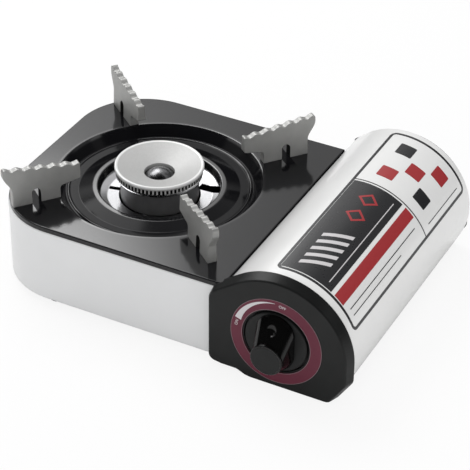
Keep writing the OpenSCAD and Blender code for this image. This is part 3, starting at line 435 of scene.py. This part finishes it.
def rounded(x0, y0, x1, y1, r, n=6):
    """A rectangle with round corners, anticlockwise; n is the number of chords in a corner."""
    points = []
    corners = ((x1 - r, y1 - r, 0), (x0 + r, y1 - r, 90), (x0 + r, y0 + r, 180), (x1 - r, y0 + r, 270))
    for cx, cy, start in corners:
        for i in range(n + 1):
            dx, dy = polar(r, start + 90 * i / n)
            points.append((cx + dx, cy + dy))
    return points


def box_loop(x0, y0, x1, y1):
    return [(x0, y0), (x1, y0), (x1, y1), (x0, y1)]


def diamond(x, y, r):
    return [(x - r, y), (x, y + r), (x + r, y), (x, y - r)]


def circle(r, n=96):
    return [polar(r, 360 * i / n) for i in range(n)]


def print_finish(name, colour, rough):
    return finish(name, colour, rough, vary=0.02, rough_vary=0.008, scale=60, grain=300)


def on_lid(x, y, h):
    """x runs round the lid from its highest line, y back from the front wall; both are in mm."""
    a = math.pi / 2 - x * MM / LID_R
    r = LID_R + h
    return Vector((LID_X + r * math.cos(a), FRONT_Y + y * MM, LID_Z + r * math.sin(a)))


def on_dial(x, z, h):
    """x and z run from the dial's centre, in mm."""
    return Vector((DIAL_X + x * MM, RING_LOW.y - h, DIAL_Z + z * MM))


# The lid's decal, in mm on the lid: a framed field with colour blocks, bars, tiles and rules
DECAL = (-10.0, 10.4, 65.6, 208.7)      # left, front, right and back edge
FRAME_W = 2.3
FRAME_R = 5
SPLIT_Y, SPLIT_W = 136.0, 1.1           # the line between the decal's two fields
RULE_W = 0.7
BLOCK_FRONT, BLOCK_BACK = 13.6, SPLIT_Y - 1.6
BLOCK_LEFT, BLOCK_RIGHT = -7.4, 33
BAND_LEFT, BAND_RIGHT = 36.2, 45.4
RULES_BACK = SPLIT_Y - 8
RULES_X, RULES_FRONT, RULE_STEP, RULE_SHORTER = 51, 18, 5, 30
BAR_LEFT, BAR_RIGHT, BAR_W, BAR_SLANT = 2, 22, 4, 11
BARS_Y, BAR_STEP = 22, 9
DIAMOND_X, DIAMOND_R, DIAMOND_HOLE_R = 12, 8, 5.4
DIAMONDS_Y, DIAMOND_STEP = 94, 22
TILE_X, TILE_Y, TILE_W, TILE_L = 3, 148.5, 13, 14
TILE_STEP_X, TILE_STEP_Y = 16, 17


def decal(ink, red, pale):
    x0, y0, x1, y1 = DECAL
    left, front, right, back = x0 + FRAME_W, y0 + FRAME_W, x1 - FRAME_W, y1 - FRAME_W

    def lay(name, loops, mat, layer=1):
        patch("decal_" + name, loops, on_lid, mat, "lid", layer, STEP)

    def rule(x, start, end):
        return [box_loop(x, start, x + RULE_W, end)]

    hole = rounded(left, front, right, back, FRAME_R - FRAME_W)
    lay("frame", [rounded(x0, y0, x1, y1, FRAME_R), hole], ink)
    lay("split", [box_loop(left, SPLIT_Y, right, SPLIT_Y + SPLIT_W)], ink)
    # Front field: a dark block with slanted bars and two diamonds, a red band and two rules
    lay("block", [box_loop(BLOCK_LEFT, BLOCK_FRONT, BLOCK_RIGHT, BLOCK_BACK)], ink)
    for i in range(5):
        y = BARS_Y + BAR_STEP * i
        far = y + BAR_SLANT
        bar = [(BAR_LEFT, y), (BAR_RIGHT, far), (BAR_RIGHT, far + BAR_W), (BAR_LEFT, y + BAR_W)]
        lay("bar_%d" % i, [bar], pale, 2)
    lay("block_line", rule(27.4, 20, RULES_BACK), pale, 2)
    for i in range(2):
        y = DIAMONDS_Y + DIAMOND_STEP * i
        loops = [diamond(DIAMOND_X, y, DIAMOND_R), diamond(DIAMOND_X, y, DIAMOND_HOLE_R)]
        lay("diamond_%d" % i, loops, red, 2)
    lay("band", [box_loop(BAND_LEFT, BLOCK_FRONT, BAND_RIGHT, BLOCK_BACK)], red)
    for i in range(2):
        line = rule(RULES_X + RULE_STEP * i, RULES_FRONT, RULES_BACK - RULE_SHORTER * i)
        lay("rule_%d" % i, line, ink)
    # Rear field: tiles in two colours, like a chessboard's dark squares, and a rule
    for row in range(3):
        for column in range(3):
            if (row + column) % 2:
                continue
            x = TILE_X + TILE_STEP_X * row
            y = TILE_Y + TILE_STEP_Y * column
            mat, slot = (red, "ring_burgundy") if row == column else (ink, "panel_black")
            lay("tile_%d_%d" % (row, column), [rounded(x, y, x + TILE_W, y + TILE_L, 1)], mat)
    lay("rule_back", rule(58, 146, 200), ink)


# The dial, in mm and degrees about its centre: a crescent that grows from OFF to ON, and two thin outlines
CRESCENT_BROAD, CRESCENT_THIN = 160.5, 92.0     # the directions of its two ends
CRESCENT_STEPS = 40
OUT_R, OUT_DROP = 33.4, 1.1             # its outer edge's radius, and how much closer the edge comes
IN_R, IN_RISE, IN_POWER = 28.6, 3.5, 0.9  # its inner edge's radius, and how the edge moves out
LINE_R, LINE_W = 26.5, 0.3
WORD_R, WORD_H = 31, 2.2
OFF_ANGLE, ON_ANGLE = 82, 168
CAPITAL = 0.7                           # height of a capital in a font of size 1


def word(name, text, degrees, mat):
    """Plain letters that stand across a radius of the dial."""
    curve = bpy.data.curves.new(name, "FONT")
    curve.body = text
    curve.size = WORD_H / CAPITAL
    curve.align_x = "CENTER"
    curve.align_y = "CENTER"
    curve.extrude = (PRINT + SINK) / MM / 2
    holder = bpy.data.objects.new(name, curve)
    bpy.context.collection.objects.link(holder)
    bpy.context.view_layer.update()
    mesh = bpy.data.meshes.new_from_object(holder.evaluated_get(bpy.context.evaluated_depsgraph_get()))
    bpy.data.objects.remove(holder)
    up = Vector(polar(1, degrees))
    along = Vector((up.y, -up.x))
    middle = (PRINT - SINK) / 2
    for v in mesh.vertices:
        flat = up * (WORD_R + v.co.y) + along * v.co.x
        v.co = on_dial(flat.x, flat.y, middle + v.co.z * MM)
    mesh.name = name
    piece(name, mesh, mat, "stove")


def crescent():
    outer, inner = [], []
    for i in range(CRESCENT_STEPS + 1):
        t = i / CRESCENT_STEPS
        angle = CRESCENT_BROAD + (CRESCENT_THIN - CRESCENT_BROAD) * t
        outer.append(polar(OUT_R - OUT_DROP * t, angle))
        inner.append(polar(IN_R + IN_RISE * t ** IN_POWER, angle))
    return outer + inner[::-1]


def dial(pale, faint):
    patch("dial_crescent", [crescent()], on_dial, pale, "stove")
    for name, r in (("dial_line_outer", RING_R / MM), ("dial_line_inner", LINE_R)):
        patch(name, [circle(r), circle(r - LINE_W)], on_dial, faint, "stove")
    word("dial_off", "OFF", OFF_ANGLE, pale)
    word("dial_on", "ON", ON_ANGLE, pale)


def prints():
    ink = print_finish("print_ink", (0.020, 0.020, 0.022), 0.28)
    red = print_finish("print_red", (0.36, 0.030, 0.035), 0.30)
    pale = print_finish("print_pale", (0.62, 0.60, 0.61), 0.35)
    decal(ink, red, pale)
    dial(pale, print_finish("print_faint", (0.22, 0.15, 0.165), 0.35))


# ---------------------------------------------------------------- studio, in metres
SKY_LIGHT = 0.55
SKY_SEEN = (0.8, 0.8, 0.8, 1)
FLOOR_COLOUR = (0.90, 0.90, 0.90, 1)
FLOOR_HALF = 3.0
FLOOR_WHITE = 0.86                      # the share of plain white in the floor that the camera sees
OBJECT_MIDDLE = (0, 0, 0.05)
ROOM_SIDE, ROOM_FRONT, ROOM_BACK = 2.6, -1.8, 0.9
CARD_FOOT, ROOM_TOP = 0.02, 2.0
LEFT_FLAG_X, FLAGS_BACK = -1.8, 0.6
SOFTBOX_END, SOFTBOX_TOP = 1.8, 1.7
PATCH_GLOW = 5.5                        # brightness of the softbox's patch, where white is 1


def sky():
    """Even light from all around; the camera, mirrors and glass see a plain light grey instead."""
    world = bpy.data.worlds.new("studio")
    bpy.context.scene.world = world
    world.use_nodes = True
    tree = world.node_tree
    soft = tree.nodes["Background"]
    soft.inputs["Color"].default_value = (1, 1, 1, 1)
    soft.inputs["Strength"].default_value = SKY_LIGHT
    plain = tree.nodes.new("ShaderNodeBackground")
    plain.inputs["Color"].default_value = SKY_SEEN
    plain.inputs["Strength"].default_value = 1.0
    path = tree.nodes.new("ShaderNodeLightPath")
    seen = combine(tree, "MAXIMUM", (path, "Is Camera Ray"), (path, "Is Glossy Ray"))
    seen = combine(tree, "MAXIMUM", seen, (path, "Is Transmission Ray"))
    mix_shaders(tree, seen, soft, plain, tree.nodes["World Output"].inputs["Surface"])


def ground():
    """A pale floor. Most of what the camera sees of it is plain white, so the shadow stays faint."""
    mesh = bpy.data.meshes.new("floor")
    half = FLOOR_HALF
    mesh.from_pydata([(x, y, 0) for x, y in box_loop(-half, -half, half, half)], [], [(0, 1, 2, 3)])
    floor = bpy.data.objects.new("floor", mesh)
    bpy.context.collection.objects.link(floor)
    mat, tree, shader = new_material("floor")
    shader.inputs["Base Color"].default_value = FLOOR_COLOUR
    shader.inputs["Roughness"].default_value = 0.9
    shader.inputs["Specular IOR Level"].default_value = 0.1
    path = tree.nodes.new("ShaderNodeLightPath")
    share = ramp(tree, path, "Is Camera Ray", 0.0, FLOOR_WHITE, 0.0, 1.0)
    white = tree.nodes.new("ShaderNodeEmission")
    mix_shaders(tree, share, shader, white, tree.nodes["Material Output"].inputs["Surface"])
    mesh.materials.append(mat)


def area(name, place, target, size, power, in_mirrors):
    data = bpy.data.lights.new(name, "AREA")
    data.shape = "RECTANGLE"
    data.size, data.size_y = size
    data.energy = power
    obj = bpy.data.objects.new(name, data)
    bpy.context.collection.objects.link(obj)
    obj.location = place
    obj.rotation_euler = (Vector(target) - Vector(place)).to_track_quat("-Z", "Y").to_euler()
    obj.visible_glossy = in_mirrors


def lamps():
    area("key", (-0.9, 0.5, 1.3), OBJECT_MIDDLE, (1.1, 0.8), 14, True)
    area("front", (0.5, -1.5, 1.0), OBJECT_MIDDLE, (1.2, 0.9), 7, False)
    area("right", (1.4, 0.1, 0.8), (0.05, 0, 0.05), (0.8, 0.8), 3.3, False)


def card(name, corners):
    """A black studio card that only mirrors see; returns its node tree and its emission."""
    mesh = bpy.data.meshes.new(name)
    mesh.from_pydata(corners, [], [(0, 1, 2, 3)])
    obj = bpy.data.objects.new(name, mesh)
    bpy.context.collection.objects.link(obj)
    mat = bpy.data.materials.new(name)
    mat.use_nodes = True
    tree = mat.node_tree
    glow = tree.nodes.new("ShaderNodeEmission")
    glow.inputs["Strength"].default_value = 0.0
    tree.links.new(glow.outputs[0], tree.nodes["Material Output"].inputs["Surface"])
    mesh.materials.append(mat)
    obj.visible_camera = False
    obj.visible_diffuse = False
    obj.visible_transmission = False
    obj.visible_shadow = False
    return tree, glow


def upright(start, end, top):
    """Corners of a card that stands between two points of the floor plan."""
    return [(*start, CARD_FOOT), (*end, CARD_FOOT), (*end, top), (*start, top)]


def softbox():
    """The back card: dark low down, white above, brighter to the left, with a soft bright patch there."""
    tree, glow = card("softbox", upright((-ROOM_SIDE, ROOM_BACK), (SOFTBOX_END, ROOM_BACK), SOFTBOX_TOP))
    place = split_xyz(tree, coords(tree), "Object")
    # White above the horizon: twice as bright at the left, a quarter as bright at the right
    wide = ramp(tree, place, "X", 2.0, 1.0, -0.74, -0.34)
    horizon = ramp(tree, place, "Z", 0.0, 1.0, 0.48, 0.60)
    dim = ramp(tree, place, "X", 1.0, 0.25, -0.15, 0.25)
    white = product(tree, wide, horizon, dim)
    # The patch: its right side, its lower edge with the brightness, and its upper edge
    across = ramp(tree, place, "X", 1.0, 0.0, -0.70, -0.52)
    rise = ramp(tree, place, "Z", 0.0, PATCH_GLOW, 0.74, 0.90)
    top = ramp(tree, place, "Z", 1.0, 0.0, 1.05, 1.30)
    bright = product(tree, across, rise, top)
    # Both fade towards the card's left end
    end = ramp(tree, place, "X", 0.25, 1.0, -1.10, -0.85)
    light = product(tree, combine(tree, "ADD", white, bright), end)
    link(tree, light, 0, glow, "Strength")


def flags():
    """Black cards round the stove, which its glossy surfaces mirror."""
    left, right = -ROOM_SIDE, ROOM_SIDE
    card("flag_front", upright((left, ROOM_FRONT), (right, ROOM_FRONT), ROOM_TOP))
    card("flag_right", upright((right, ROOM_FRONT), (right, ROOM_BACK), 1.6))
    card("flag_left", upright((LEFT_FLAG_X, ROOM_FRONT), (LEFT_FLAG_X, FLAGS_BACK), 0.75))
    card("flag_top", [(x, y, ROOM_TOP) for x, y in box_loop(left, ROOM_FRONT, right, FLAGS_BACK)])


def studio():
    sky()
    ground()
    lamps()
    softbox()
    flags()


# ---------------------------------------------------------------- camera, as the photo was framed
CAM_AZ, CAM_EL, CAM_ROLL = 27.3, 34.78, 0.55
CAM_DIST = 1441.4 * MM
CAM_AIM = Vector((-31.13, 2.7, 42.3)) * MM
CAM_SHIFT = (34.69 * MM, -16.68 * MM)   # how far the camera is moved sideways and up
FOCAL_PX, FRAME_PX = 1919.8, 470
SENSOR = 36.0


def camera():
    a, e, r = map(math.radians, (CAM_AZ, CAM_EL, CAM_ROLL))
    back = Vector((math.sin(a) * math.cos(e), -math.cos(a) * math.cos(e), math.sin(e)))
    level = Vector((math.cos(a), math.sin(a), 0))
    up = back.cross(level)
    right = math.cos(r) * level + math.sin(r) * up
    up = -math.sin(r) * level + math.cos(r) * up
    place = CAM_AIM + back * CAM_DIST + right * CAM_SHIFT[0] + up * CAM_SHIFT[1]
    data = bpy.data.cameras.new("camera")
    data.sensor_fit = "HORIZONTAL"
    data.sensor_width = SENSOR
    data.lens = FOCAL_PX / FRAME_PX * SENSOR
    obj = bpy.data.objects.new("camera", data)
    bpy.context.collection.objects.link(obj)
    obj.matrix_world = Matrix.Translation(place) @ Matrix((right, up, back)).transposed().to_4x4()
    bpy.context.scene.camera = obj


bpy.context.scene.view_settings.view_transform = "Standard"
studio()
camera()
paint_nodes()
smooth_nodes()
prints()
